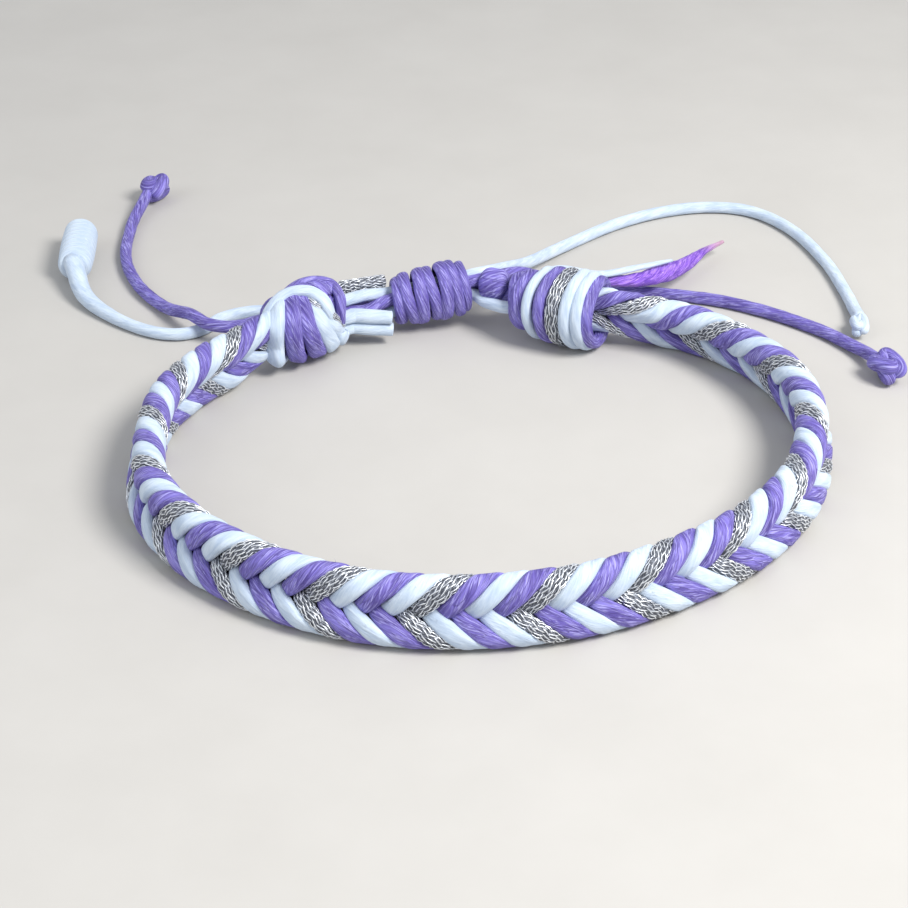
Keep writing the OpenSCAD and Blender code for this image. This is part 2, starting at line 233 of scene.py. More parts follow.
# Cords over the left knot: colour, half width, and places to the right, up and out from that form
LEFT_KNOT_LAYS = [
    ("purple", 0.82, [
        (-2.2, 3.0, 0.2), (-0.6, 4.15, 0.6), (1.3, 4.5, 0.9), (3.0, 4.05, 1.0), (3.95, 2.7, 1.0),
        (4.2, 1.3, 0.6), (4.1, 0.0, -0.4),
    ]),
    ("purple", 1.1, [
        (-1.45, 2.6, 0.1), (-1.3, 0.6, 0.5), (-1.25, -1.4, 0.6), (-1.15, -3.2, 0.6), (-0.95, -4.5, 0.5),
    ]),
    ("purple", 1.1, [
        (-0.7, 2.5, 0.0), (-0.1, 0.8, 0.45), (0.35, -0.9, 0.5), (0.85, -2.5, 0.5), (1.3, -3.8, 0.4),
    ]),
    ("white", 1.05, [
        (0.3, 2.2, -0.2), (1.1, 0.8, 0.3), (1.9, -0.7, 0.4), (2.5, -2.0, 0.4), (3.0, -3.0, 0.3),
    ]),
    ("white", 1.0, [
        (1.2, 1.7, -0.3), (2.2, 0.5, 0.1), (3.1, -0.7, 0.1), (3.8, -1.5, 0.0), (4.2, -2.1, -0.4),
    ]),
    ("silver", 0.5, [
        (0.2, 2.3, 0.5), (1.1, 1.75, 1.1), (2.1, 1.1, 1.1), (3.4, 0.1, 0.9), (4.2, -0.9, 0.5),
    ]),
    ("white", 1.15, [
        (-2.9, 1.2, -0.3), (-3.1, 0.1, 0.6), (-3.3, -1.6, 0.9), (-3.4, -3.4, 0.9), (-3.4, -4.9, 0.8),
    ]),
    ("white", 0.8, [
        (-4.3, -0.7, 0.1), (-4.1, 0.5, 0.9), (-3.1, 1.9, 1.5), (-1.5, 2.8, 1.7), (0.5, 2.9, 1.7),
        (1.95, 2.15, 1.6), (2.7, 1.1, 1.3), (3.0, 0.0, 0.3), (3.1, -0.8, -0.6),
    ]),
]
# Half thickness of those cords and their least height above the table, as shares of their half width
LAY_FLAT = 0.74
LAY_LEAST_HEIGHT = 0.5
LAY_SQUARE = 2.7
# Places that carry a laid cord on to the far side: share of its last place right and up, and depth behind it
LAY_START = (0.9, 1.6)
LAY_TURNED = (0.97, 1.5)
LAY_END = (0.8, 3)
# Turns on the far side: colour and place along the knot's axis
LEFT_KNOT_BACK = [("purple", -3.6), ("white", -1.9), ("purple", -0.2), ("purple", 1.5), ("purple", 3.1)]
BACK_RADIUS = 3.6
# How quickly those turns get smaller away from the knot's middle
BACK_BARREL = 0.04
BACK_HALF_WIDTH = 0.95
BACK_FLAT = 0.8
BACK_RINGS = 60
# Half of the angle that they cover, the share by which their ends sink in, and their sway along the axis
BACK_HALF_ANGLE = math.radians(112)
BACK_SUNK = 0.2
BACK_SWAY = 0.5

# Length of a closure cord that is hidden in its end knot
TUCKED = 0.9
# Half width that a closure cord gains towards its end knot, and the length that it gains it over
SWELL = {"white_left_cord": (0.5, 17)}
NO_SWELL = (0, 1)

# Cut ends, begun inside their knot: colour, route, widths along it and height as a share of the width
CUT_ENDS = {
    "purple_cut_end": {
        "colour": "violet",
        "route": [
            [10.2, 30.2, 5.2], [13.3, 31.8, 5.4], [18.6, 32.4, 4.8], [23, 35.2, 3.6],
            [26.6, 38.8, 2.7], [29.8, 42.6, 2.2], [32.4, 46.4, 2], [35, 49, 2],
        ],
        "widths": [1.4, 1.4, 1.6, 2.3, 2.9, 2, 1.1, 0.5],
        "flat": 0.7,
    },
    "white_cut_end": {
        "colour": "white",
        "route": [
            [9.9, 30.4, 6.3], [12.9, 31.8, 6.8], [17.8, 31.8, 6.1], [22.9, 35.6, 5.1], [27.4, 39.3, 4.2],
        ],
        "widths": [1.4, 1.4, 1.3, 1.1, 0.6],
        "flat": 0.6,
    },
    "left_cut_silver": {
        "colour": "silver",
        "route": [[-15.3, 26.35, 6.5], [-14.2, 27.4, 6.4], [-11.8, 29.2, 5.95], [-8.6, 30.8, 5.75]],
        "widths": [1.7, 1.7, 1.7, 1.6],
        "flat": 1,
    },
    "left_cut_white_upper": {
        "colour": "white",
        "route": [
            [-14.8, 22.9, 4.5], [-12.95, 23.8, 4.4], [-12, 24.5, 4.3], [-10.2, 24.8, 4.05], [-7.5, 25.1, 3.7],
        ],
        "widths": [1.7, 1.7, 1.75, 1.75, 1.6],
        "flat": 1,
    },
    "left_cut_white_lower": {
        "colour": "white",
        "route": [
            [-15, 23, 2.9], [-13.15, 24, 2.75], [-12.2, 24.7, 2.65], [-10.2, 24.9, 2.4], [-7.4, 25.2, 2.05],
        ],
        "widths": [1.7, 1.7, 1.75, 1.75, 1.6],
        "flat": 1,
    },
}

# Wander of a soft cord's plies: radians, radians a millimetre, and no shift
PLY_WANDER = (0.3, 0.7, 0)
# Power that makes the plies fuller than plain waves
PLY_FULLNESS = 0.7
# Lumps round a soft cord: how many, radians a millimetre, and size and pace of their drift
LUMPS = [(3, 1.7, 1.6, 0.9), (2, -2.3, 1.0, 1.3)]

# Sleeve of a metallic cord: threads each way, length of a thread's turn, its half width, flatness and sides
CARRIERS = 12
LEAD = 18.0
THREAD_HALF = 0.09
THREAD_FLAT = 0.6
THREAD_SIDES = 3
# In shares of the cord's half size: where the threads and the core lie, and how far a thread rises and dips
THREAD_AT = 0.875
CORE_AT = 0.9
THREAD_RISE = 0.115
# Sides of the core's mesh
CORE_SIDES = 16
# A thread's small waves round the cord, in its crossings and outward: size, pace, shift between threads
THREAD_WANDER = (0.06, 1.9, 2.3)
THREAD_SLACK = (0.5, 0.6, 1.7)
THREAD_HEAVE = (0.025, 0.8, 2.9)

# Colours, as linear red, green and blue
# Each purple's last colour is a painted highlight: pale streaks of light along the crests of its filaments
WAXED_PURPLE = {
    "dark": (0.082, 0.058, 0.27), "middle": (0.158, 0.124, 0.46), "light": (0.25, 0.215, 0.65),
    "painted_highlight": (0.56, 0.54, 0.92),
}
BRIGHT_VIOLET = {
    "dark": (0.13, 0.05, 0.42), "middle": (0.25, 0.11, 0.62), "light": (0.4, 0.22, 0.78),
    "painted_highlight": (0.62, 0.4, 0.88),
}
TIP_PINK = (0.68, 0.42, 0.5)
TIP_SHARE = 0.85
# White cord's colours: painted shade in its folds and painted light on their tops, mixed with random patches
# of tone
WHITE_SHADED_IN_FOLDS = (0.43, 0.53, 0.68)
WHITE_LIT_ON_TOP = (0.63, 0.72, 0.82)
CORE_DARK = (0.035, 0.04, 0.055)
CORE_LIGHT = (0.24, 0.26, 0.31)
SILVER_DULL = (0.5, 0.53, 0.6)
SILVER_BRIGHT = (0.94, 0.97, 1)
TABLE_DARK = (0.48, 0.465, 0.44)
TABLE_LIGHT = (0.54, 0.525, 0.5)
# Between these levels of its noises a soft cord goes from its darkest to its lightest
SHADE_FROM = 0.34
SHADE_TO = 0.66
# Levels above which a ridge of noise shows, as a painted highlight on a crest or painted shade in a crease,
# and its share in the colour
CREST_FROM = 0.8
CREASE_FROM = 0.92
HIGHLIGHT_SHARE = 0.55
CREASE_SHADE_SHARE = 0.6
# Levels of the filaments between which the painted highlight on the crests comes in, and levels between which
# the core's grain and the thread's tone turn light
HIGHLIGHT_ON_FILAMENTS = (0.35, 0.65)
CORE_LIT = (0.42, 0.66)
THREAD_LIT = (0.35, 0.6)

# Noises on a cord's skin: girth, stretch and twist there, then scale, detail, roughness and bend
PURPLE_FOLDS = (2.0, 0.26, 0.3, 1.4, 2, 0.5, 0.6)
PURPLE_FILAMENTS = (4.6, 0.3, 0.42, 1.6, 3, 0.6, 0.3)
PURPLE_PATCHES = (0.8, 0.3, 0.2, 1.0, 2, 0.5, 0)
PURPLE_CREASES = (1.8, 0.22, 0.2, 1.3, 2, 0.5, 0.4)
WHITE_FIBRES = (5, 0.5, 0.3, 1.5, 3, 0.6, 0)
WHITE_FOLDS = (1.6, 0.4, 0.15, 1.2, 2, 0.5, 0.6)
WHITE_PATCHES = (1, 0.4, 0.1, 1.0, 2, 0.5, 0)
CORE_GRAIN = (3.4, 1.5, 0.4, 2.2, 3, 0.6, 0)
THREAD_TONE = (0.5, 1.5, 0, 1.4, 2, 0.5, 0)
# The table's grain: scale, detail and roughness
TABLE_GRAIN = (60, 4, 0.6)
# Shares of filaments (or fibres), folds and patches in a cord's shade
PURPLE_SHADE = (0.45, 0.2, 0.35)
WHITE_SHADE = (0.35, 0.3, 0.35)
# Shares of filaments (or fibres), folds, crests and creases in its relief
PURPLE_RELIEF = (0.55, 0.5, 0.2, -0.5)
WHITE_RELIEF = (0.6, 1.0)
# Strength of a relief and its depth
SOFT_BUMP = (0.75, 0.14)
CORE_BUMP = (0.7, 0.12)
# Least roughness of a finish and its gain with the noise
PURPLE_ROUGH = (0.42, 0.25)
WHITE_ROUGH = (0.75, 0.15)
CORE_ROUGH = (0.38, 0.2)
THREAD_ROUGH = (0.26, 0.2)
TABLE_ROUGH = (0.7, 0.1)

# A Mix node's sockets for colours, by number
MIX_SHARE = 0
MIX_FIRST = 6
MIX_SECOND = 7
MIX_RESULT = 2

# Lamps: place and size in metres, power in watts
LAMPS = {
    "key_light": {"place": (0.21, -0.14, 0.31), "size": 0.17, "power": 1.95, "colour": (1, 0.985, 0.96)},
    "fill_light": {"place": (-0.45, -0.3, 0.4), "size": 0.5, "power": 0.9, "colour": (0.88, 0.93, 1)},
}
ROOM_COLOUR = (0.92, 0.95, 1)
ROOM_STRENGTH = 0.62
# Half of the table's side, in metres
TABLE_HALF = 1.5


def unit(vectors):
    return vectors / np.linalg.norm(vectors, axis=-1, keepdims=True)


def smooth(points, steps=CURVE_STEPS):
    """Curve through listed points, with some steps for each span."""
    p = np.array(points, float)
    p = np.vstack([2 * p[0] - p[1], p, 2 * p[-1] - p[-2]])
    t = np.arange(steps)[:, None] / steps
    spans = []
    for a, b, c, d in zip(p, p[1:], p[2:], p[3:]):
        curve = 2 * b + (c - a) * t + (2 * a - 5 * b + 4 * c - d) * t**2 + (3 * b - a - 3 * c + d) * t**3
        spans.append(curve / 2)
    return np.vstack(spans + [p[-2:-1]])


def runs(points):
    """Length of a line up to each of its points."""
    return np.concatenate([[0], np.cumsum(np.linalg.norm(np.diff(points, axis=0), axis=1))])


def even(points, step):
    """The same line with points a step apart."""
    points = np.array(points, float)
    run = runs(points)
    places = np.linspace(0, run[-1], max(2, round(run[-1] / step) + 1))
    return np.stack([np.interp(places, run, axis) for axis in points.T], axis=1)


def ease(t):
    """0 up to 0 and 1 from 1 on, soft between."""
    u = np.clip(t, 0, 1)
    return u * u * (3 - 2 * u)


def sway(run, wave, number=0, start=0):
    """A slow wave along a cord: its size, its pace and its shift from cord to cord."""
    size, pace, shift = wave
    return size * np.sin(run * pace + shift * number + start)


class Path:
    """A cord's middle line, with the directions and half sizes of its section, in millimetres."""

    def __init__(self, middle, out, wide, thick, closed=False, square=SOFT_SQUARE):
        self.middle = np.array(middle, float)
        self.closed = closed
        self.square = square
        count = len(self.middle)
        if closed:
            along = np.roll(self.middle, -1, 0) - np.roll(self.middle, 1, 0)
        else:
            along = np.gradient(self.middle, axis=0)
        self.along = unit(along)
        out = np.broadcast_to(np.array(out, float), (count, 3))
        self.across = unit(np.cross(out, self.along))
        self.out = np.cross(self.along, self.across)
        self.wide = np.broadcast_to(np.array(wide, float), (count,))
        self.thick = np.broadcast_to(np.array(thick, float), (count,))
        self.run = runs(self.middle)

    def surface(self, angle, size=1.0, square=None):
        """Points round the section at given angles, an array of a row for each ring."""
        power = 2 / (square or self.square)
        cosine = np.cos(angle)
        sine = np.sin(angle)
        aside = np.sign(cosine) * np.abs(cosine) ** power * self.wide[:, None] * size
        up = np.sign(sine) * np.abs(sine) ** power * self.thick[:, None] * size
        return (self.middle[:, None, :] + self.across[:, None, :] * aside[..., None]
                + self.out[:, None, :] * up[..., None])


class Shells:
    """Tubes collected for one mesh, with the turn and the run of each corner as its UV map."""

    def __init__(self):
        self.points = []
        self.faces = []
        self.uvs = []
        self.count = 0

    def add(self, rings, run, closed=False):
        """Adds a tube from its rings of points; one that isn't closed gets flat ends."""
        rows, sides, _ = rings.shape
        first = self.count
        number = first + np.arange(rows * sides).reshape(rows, sides)
        last = rows if closed else rows - 1
        i, j = np.meshgrid(np.arange(last), np.arange(sides), indexing="ij")
        next_i = (i + 1) % rows
        next_j = (j + 1) % sides
        quads = np.stack([number[i, j], number[i, next_j], number[next_i, next_j], number[next_i, j]], -1)
        long_run = np.append(run, run[-1] + run[1] - run[0])
        corner_u = np.stack([j, j + 1, j + 1, j], -1) / sides
        corner_v = np.stack([long_run[i], long_run[i], long_run[i + 1], long_run[i + 1]], -1)
        self.points.append(rings.reshape(-1, 3))
        self.faces.extend(quads.reshape(-1, 4).tolist())
        self.uvs.append(np.stack([corner_u, corner_v], -1).reshape(-1, 2))
        if not closed:
            for ring, place in ((number[0][::-1], run[0]), (number[-1], run[-1])):
                self.faces.append(ring.tolist())
                turn = (ring - ring.min()) / sides
                self.uvs.append(np.stack([turn, np.full(sides, place)], -1))
        self.count += rows * sides

    def piece(self, name, material):
        """The tubes as one object, in metres."""
        mesh = bpy.data.meshes.new(name)
        place = (np.vstack(self.points) - PLAN_MIDDLE) * MM
        place[:, 2] = np.maximum(place[:, 2], PRESSED * MM)
        mesh.from_pydata(place.tolist(), [], self.faces)
        layer = mesh.uv_layers.new(name="cord_uv")
        layer.data.foreach_set("uv", np.vstack(self.uvs).astype(np.float32).ravel())
        mesh.polygons.foreach_set("use_smooth", np.ones(len(mesh.polygons), bool))
        mesh.materials.append(material)
        mesh.update()
        obj = bpy.data.objects.new(name, mesh)
        bpy.context.scene.collection.objects.link(obj)
        return obj


def angles(sides):
    """Even angles round a section, as one row."""
    return np.arange(sides)[None, :] * math.tau / sides


def soft_cord(shells, path, sides, plies, relief, twist, crumple):
    """A round cord whose plies stand out a little and turn round it, so many radians a millimetre."""
    angle = angles(sides)
    run = path.run[:, None]
    ply = np.abs(np.cos(plies * (angle + twist * run + sway(run, PLY_WANDER)) / 2))
    lumps = 0
    for count, pace, drift, drift_pace in LUMPS:
        lumps = lumps + np.sin(count * angle + pace * run + drift * np.sin(drift_pace * run))
    size = 1 - relief + relief * ply**PLY_FULLNESS + crumple * lumps
    shells.add(path.surface(angle, size), path.run, path.closed)


def metal_cord(core, sleeve, path):
    """A dark core in a plaited sleeve: each bright thread passes over and under those of the other way."""
    core.add(path.surface(angles(CORE_SIDES), CORE_AT, ELLIPSE), path.run, path.closed)
    run = path.run
    lead = LEAD
    if path.closed:
        whole = run[-1] + run[1]
        lead = whole / round(whole / LEAD)
    beat = run * CARRIERS / lead * math.tau + math.pi / 4
    for way in (1, -1):
        for carrier in range(CARRIERS):
            begun = math.tau * (carrier + way / 8) / CARRIERS
            angle = way * run / lead * math.tau + begun + sway(run, THREAD_WANDER, carrier, way)
            rise = way * THREAD_RISE * np.cos(beat + sway(run, THREAD_SLACK, carrier, way))
            lift = THREAD_AT + rise + sway(run, THREAD_HEAVE, carrier)
            middle = path.surface(angle[:, None], lift[:, None], ELLIPSE)[:, 0]
            out = unit(middle - path.middle)
            thread = Path(middle, out, THREAD_HALF, THREAD_HALF * THREAD_FLAT, path.closed, ELLIPSE)
            sleeve.add(thread.surface(angles(THREAD_SIDES) + math.pi / 2), run, path.closed)


class Signal:
    """A shader socket that joins in Python sums: each sum adds its Math node."""

    def __init__(self, tree, socket=None):
        self.tree = tree
        self.socket = socket

    def node(self, kind, settings=None, inputs=None, output=0):
        """Adds a node: its settings first, then the values or links of its sockets."""
        made = self.tree.nodes.new("ShaderNode" + kind)
        for name, value in (settings or {}).items():
            if name == "stops":
                fill_ramp(made.color_ramp, value)
            else:
                setattr(made, name, value)
        for name, value in (inputs or {}).items():
            if isinstance(value, Signal):
                self.tree.links.new(value.socket, made.inputs[name])
            else:
                made.inputs[name].default_value = value
        return Signal(self.tree, made.outputs[output])

    def math(self, operation, *values):
        return self.node("Math", {"operation": operation}, dict(enumerate((self, *values))))

    def __add__(self, other):
        return self.math("ADD", other)

    def __sub__(self, other):
        return self.math("SUBTRACT", other)

    def __rsub__(self, other):
        return self * -1 + other

    def __mul__(self, other):
        return self.math("MULTIPLY", other)

    __radd__ = __add__
    __rmul__ = __mul__

    def ramp(self, *stops):
        return self.node("ValToRGB", {"stops": stops}, {0: self})

    def ridges(self, low):
        """Thin lines where a noise passes through its middle value, 0 outside them and 1 on their crests."""
        return (1 - (self * 2 - 1).math("ABSOLUTE")).between(low, 1.0)

    def between(self, low, high):
        """0 below low, 1 above high, soft between."""
        return self.node("MapRange", {"interpolation_type": "SMOOTHSTEP"},
                         {"Value": self, "From Min": low, "From Max": high})


def blend(shares, *signals):
    """Sum of signals, each by its share."""
    parts = [signal * share for signal, share in zip(signals, shares)]
    return sum(parts[1:], parts[0])


def fill_ramp(ramp, stops):
    while len(ramp.elements) < len(stops):
        ramp.elements.new(1)
    for element, (place, colour) in zip(ramp.elements, stops):
        element.position = place
        element.color = (*colour, 1)


def mix(first, second, share):
    """Colour between two colours."""
    sockets = {MIX_SHARE: share, MIX_FIRST: paint(first), MIX_SECOND: paint(second)}
    return share.node("Mix", {"data_type": "RGBA"}, sockets, MIX_RESULT)


def paint(colour):
    return colour if isinstance(colour, Signal) else (*colour, 1)


class Finish:
    """A material under way: its shader, and the turn and run of the cord that wears it."""

    def __init__(self, name, **constants):
        self.material = bpy.data.materials.new(name)
        self.material.use_nodes = True
        self.tree = self.material.node_tree
        self.shader = self.tree.nodes["Principled BSDF"]
        for socket, value in constants.items():
            self.shader.inputs[socket.replace("_", " ")].default_value = value
        self.start = Signal(self.tree)
        cord = self.start.node("UVMap", {"uv_map": "cord_uv"})
        self.turn = cord.node("SeparateXYZ", {}, {"Vector": cord}, "X")
        self.run = cord.node("SeparateXYZ", {}, {"Vector": cord}, "Y")

    def around(self, girth, stretch, twist):
        """A place on the cord's skin for noise: wide round the cord, stretched along it."""
        angle = self.turn * math.tau + self.run * twist
        aside = angle.math("COSINE") * girth
        up = angle.math("SINE") * girth
        return self.start.node("CombineXYZ", {}, {"X": aside, "Y": up, "Z": self.run * stretch})

    def noise(self, place, scale, detail, roughness, bend=0):
        settings = {"Scale": scale, "Detail": detail, "Roughness": roughness, "Distortion": bend}
        return self.start.node("TexNoise", {}, {"Vector": place, **settings})

    def skin_noise(self, girth, stretch, twist, *settings):
        return self.noise(self.around(girth, stretch, twist), *settings)

    def bump(self, height, strength, depth):
        sockets = {"Height": height, "Strength": strength, "Distance": depth * MM}
        return self.start.node("Bump", {}, sockets)

    def wear(self, **links):
        for socket, signal in links.items():
            self.tree.links.new(signal.socket, self.shader.inputs[socket.replace("_", " ")])
        return self.material


def rough(noise, least, gain):
    """Roughness that follows a noise."""
    return least + noise * gain


def purple_body(finish, dark, middle, light, painted_highlight):
    """Colour, roughness and bump of waxed filaments, with a painted highlight on pale crests, painted shade
    in dark creases, and soft patches.
    """
    folds = finish.skin_noise(*PURPLE_FOLDS)
    filaments = finish.skin_noise(*PURPLE_FILAMENTS)
    patches = finish.skin_noise(*PURPLE_PATCHES)
    highlight_crests = folds.ridges(CREST_FROM)
    shaded_creases = finish.skin_noise(*PURPLE_CREASES).ridges(CREASE_FROM)
    shade = blend(PURPLE_SHADE, filaments, folds, patches).between(SHADE_FROM, SHADE_TO)
    colour = shade.ramp((0, dark), (0.5, middle), (1, light))
    # Painted highlight: pale streaks on the crests, where the filaments are high
    colour = mix(colour, painted_highlight, highlight_crests * filaments.between(*HIGHLIGHT_ON_FILAMENTS) * HIGHLIGHT_SHARE)
    # Painted shade: the dark colour laid into the thin creases that the relief also sinks
    colour = mix(colour, dark, shaded_creases * CREASE_SHADE_SHARE)
    relief = blend(PURPLE_RELIEF, filaments, folds, highlight_crests, shaded_creases)
    return colour, rough(filaments, *PURPLE_ROUGH), finish.bump(relief, *SOFT_BUMP)


def waxed_purple():
    """Waxed purple cord, crumpled along its filaments."""
    finish = Finish("waxed_purple", Specular_IOR_Level=0.35)
    colour, roughness, normal = purple_body(finish, **WAXED_PURPLE)
    return finish.wear(Base_Color=colour, Roughness=roughness, Normal=normal)


def frayed_violet():
    """The loose purple end: brighter than the cord, and faded to pink at its tip."""
    finish = Finish("frayed_violet", Specular_IOR_Level=0.3)
    colour, roughness, normal = purple_body(finish, **BRIGHT_VIOLET)
    tip = finish.run.between(FADE_FROM, FADE_TO)
    return finish.wear(Base_Color=mix(colour, TIP_PINK, tip * TIP_SHARE), Roughness=roughness, Normal=normal)


def soft_white():
    """Soft white cord: matt and faintly blue, with the finest fibres along it, painted shade in its folds and
    painted light on their tops.
    """
    finish = Finish("soft_white", Sheen_Weight=0.15, Sheen_Roughness=0.5, Specular_IOR_Level=0.2)
    fibres = finish.skin_noise(*WHITE_FIBRES)
    folds = finish.skin_noise(*WHITE_FOLDS)
    patches = finish.skin_noise(*WHITE_PATCHES)
    shade = blend(WHITE_SHADE, fibres, folds, patches).between(SHADE_FROM, SHADE_TO)
    # Painted shade: darker where the fibres and folds of the relief sink, lighter where they rise, and random
    # in the patches
    colour = mix(WHITE_SHADED_IN_FOLDS, WHITE_LIT_ON_TOP, shade)
    normal = finish.bump(blend(WHITE_RELIEF, fibres, folds), *SOFT_BUMP)
    return finish.wear(Base_Color=colour, Roughness=rough(fibres, *WHITE_ROUGH), Normal=normal)


def thread_core():
    """Dark metallic thread that shows between the bright ones."""
    finish = Finish("thread_core", Metallic=0.25, Specular_IOR_Level=0.5)
    grain = finish.skin_noise(*CORE_GRAIN)
    colour = mix(CORE_DARK, CORE_LIGHT, grain.between(*CORE_LIT))
    normal = finish.bump(grain, *CORE_BUMP)
    return finish.wear(Base_Color=colour, Roughness=rough(grain, *CORE_ROUGH), Normal=normal)


def silver_thread():
    """Flat metallic thread, uneven in tone along its run."""
    finish = Finish("silver_thread", Metallic=0.6)
    tone = finish.skin_noise(*THREAD_TONE)
    colour = mix(SILVER_DULL, SILVER_BRIGHT, tone.between(*THREAD_LIT))
    return finish.wear(Base_Color=colour, Roughness=rough(tone, *THREAD_ROUGH))


def pale_table():
    finish = Finish("pale_table", Specular_IOR_Level=0.2)
    place = finish.start.node("TexCoord", {}, {}, "Object")
    grain = finish.noise(place, *TABLE_GRAIN)
    return finish.wear(Base_Color=mix(TABLE_DARK, TABLE_LIGHT, grain), Roughness=rough(grain, *TABLE_ROUGH))


def make_camera():
    camera = bpy.data.objects.new("camera", bpy.data.cameras.new("camera"))
    camera.data.lens = CAMERA_LENS
    camera.data.sensor_width = CAMERA_SENSOR
    camera.data.clip_start = CAMERA_CLIP
    back = Vector((0, -math.cos(CAMERA_ELEVATION), math.sin(CAMERA_ELEVATION)))
    camera.location = Vector(-PLAN_MIDDLE * MM) + back * CAMERA_DISTANCE
    camera.rotation_euler = (math.pi / 2 - CAMERA_ELEVATION, 0, 0)
    bpy.context.scene.collection.objects.link(camera)
    bpy.context.scene.camera = camera


def lamp(name, place, size, power, colour):
    """A round soft light that looks at the anklet."""
    light = bpy.data.lights.new(name, "AREA")
    light.shape = "DISK"
    light.size = size
    light.energy = power
    light.color = colour
    obj = bpy.data.objects.new(name, light)
    obj.location = place
    obj.rotation_euler = (-Vector(place)).to_track_quat("-Z", "Y").to_euler()
    bpy.context.scene.collection.objects.link(obj)


def make_light():
    for name, settings in LAMPS.items():
        lamp(name, **settings)
    world = bpy.data.worlds.new("soft_room")
    world.use_nodes = True
    background = world.node_tree.nodes["Background"]
    background.inputs["Color"].default_value = paint(ROOM_COLOUR)
    background.inputs["Strength"].default_value = ROOM_STRENGTH
    bpy.context.scene.world = world
    bpy.context.scene.view_settings.view_transform = "Standard"


def make_table():
    mesh = bpy.data.meshes.new("table_top")
    corners = [(x * TABLE_HALF, y * TABLE_HALF, 0) for x, y in ((-1, -1), (1, -1), (1, 1), (-1, 1))]
    mesh.from_pydata(corners, [], [(0, 1, 2, 3)])
    mesh.uv_layers.new(name="cord_uv")
    mesh.materials.append(pale_table())
    table = bpy.data.objects.new("table_top", mesh)
    bpy.context.scene.collection.objects.link(table)


SLOTS = {"purple": "purple_cord", "violet": "purple_cord", "white": "white_cord", "silver": "silver_thread"}
FINISHES = {
    "purple": waxed_purple(), "violet": frayed_violet(), "white": soft_white(), "silver": silver_thread(),
    "core": thread_core(),
}
# Sides, plies, relief, twist and crumple of each soft cord
MAKE = {
    "purple": {"sides": 28, "plies": 3, "relief": 0.05, "twist": 0.3, "crumple": 0.014},
    "violet": {"sides": 28, "plies": 3, "relief": 0.08, "twist": 0.2, "crumple": 0.03},
    "white": {"sides": 24, "plies": 2, "relief": 0.04, "twist": 0.05, "crumple": 0.008},
}


def settle(piece, slot, *nodes):
    """The piece rides on the part's only body, and stands for the nodes named."""
    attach(piece, "root")
    if nodes:
        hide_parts(*nodes)
    return piece


def dress(name, colour, paths, *nodes):
    """One piece of one colour from several cord paths; a silver one has its core as a second piece."""
    if colour == "silver":
        core = Shells()
        sleeve = Shells()
        for path in paths:
            metal_cord(core, sleeve, path)
        settle(core.piece(name + "_core", FINISHES["core"]), SLOTS[colour], *nodes)
        return settle(sleeve.piece(name, FINISHES["silver"]), SLOTS[colour], *nodes)
    shells = Shells()
    for path in paths:
        soft_cord(shells, path, **MAKE[colour])
    return settle(shells.piece(name, FINISHES[colour]), SLOTS[colour], *nodes)


def dress_each(name, turns, *nodes):
    """A knot's cords, given as pairs of a colour and a path: one piece for each colour."""
    for colour in SLOTS:
        paths = [path for kind, path in turns if kind == colour]
        if paths:
            dress(f"{name}_{colour}", colour, paths, *nodes)


def lean_at(run):
    """The band's outward lean along its run, with more of it on the far right stretch."""
    fade = ease((FAR_LEAN_END_L - run) / (FAR_LEAN_END_L - FAR_LEAN_HOLD_L))
    return LEAN + FAR_LEAN * ease(run / FAR_LEAN_GROW_L) * fade


class Band:
    """The braid's middle line and the directions of its faces."""

    def __init__(self):
        plan = np.array(BRAID_PLAN, float)
        line = smooth(np.column_stack([plan, np.zeros(len(plan))]), FINE_STEPS)
        self.length = runs(line)[-1]
        reach = BURIED + PAST_BURIED
        before = line[0] + unit(line[0] - line[1]) * reach
        after = line[-1] + unit(line[-1] - line[-2]) * reach
        self.line = np.vstack([before, line, after])
        self.run = runs(self.line) - reach

    def plan_at(self, run):
        return np.stack([np.interp(run, self.run, axis) for axis in self.line.T], axis=1)

    def directions(self, run):
        heading = unit(self.plan_at(run + HEADING_REACH) - self.plan_at(run - HEADING_REACH))
        outward = np.column_stack([-heading[:, 1], heading[:, 0], np.zeros(len(run))])
        lean = lean_at(run)[:, None]
        face = outward * np.cos(lean) + UP * np.sin(lean)
        rise = UP * np.cos(lean) - outward * np.sin(lean)
        return face, rise

    def full_share(self, run):
        return ease(np.minimum(run, self.length - run) / GATHER_L)

    def middle(self, run):
        knot_z = np.where(run < self.length / 2, RIGHT_KNOT_AT[2], LEFT_KNOT_AT[2])
        middle_z = EDGE_REACH * (1 + STRAIGHTEN) * np.cos(lean_at(run)) + EDGE_D / 2 + TABLE_GAP
        rise = (knot_z - middle_z) * (1 - self.full_share(run)) + middle_z
        return self.plan_at(run) + UP * rise[:, None]


def face_share(turn):
    """How far out a cord lies on its face: soft over the edges, quick through the middle of the band."""
    quick = DIVE_QUICK + (EDGE_SOFT - DIVE_QUICK) * np.cos(turn) ** 2
    wave = np.sin(2 * turn)
    return wave * np.sqrt((1 + quick**2) / (wave**2 + quick**2))


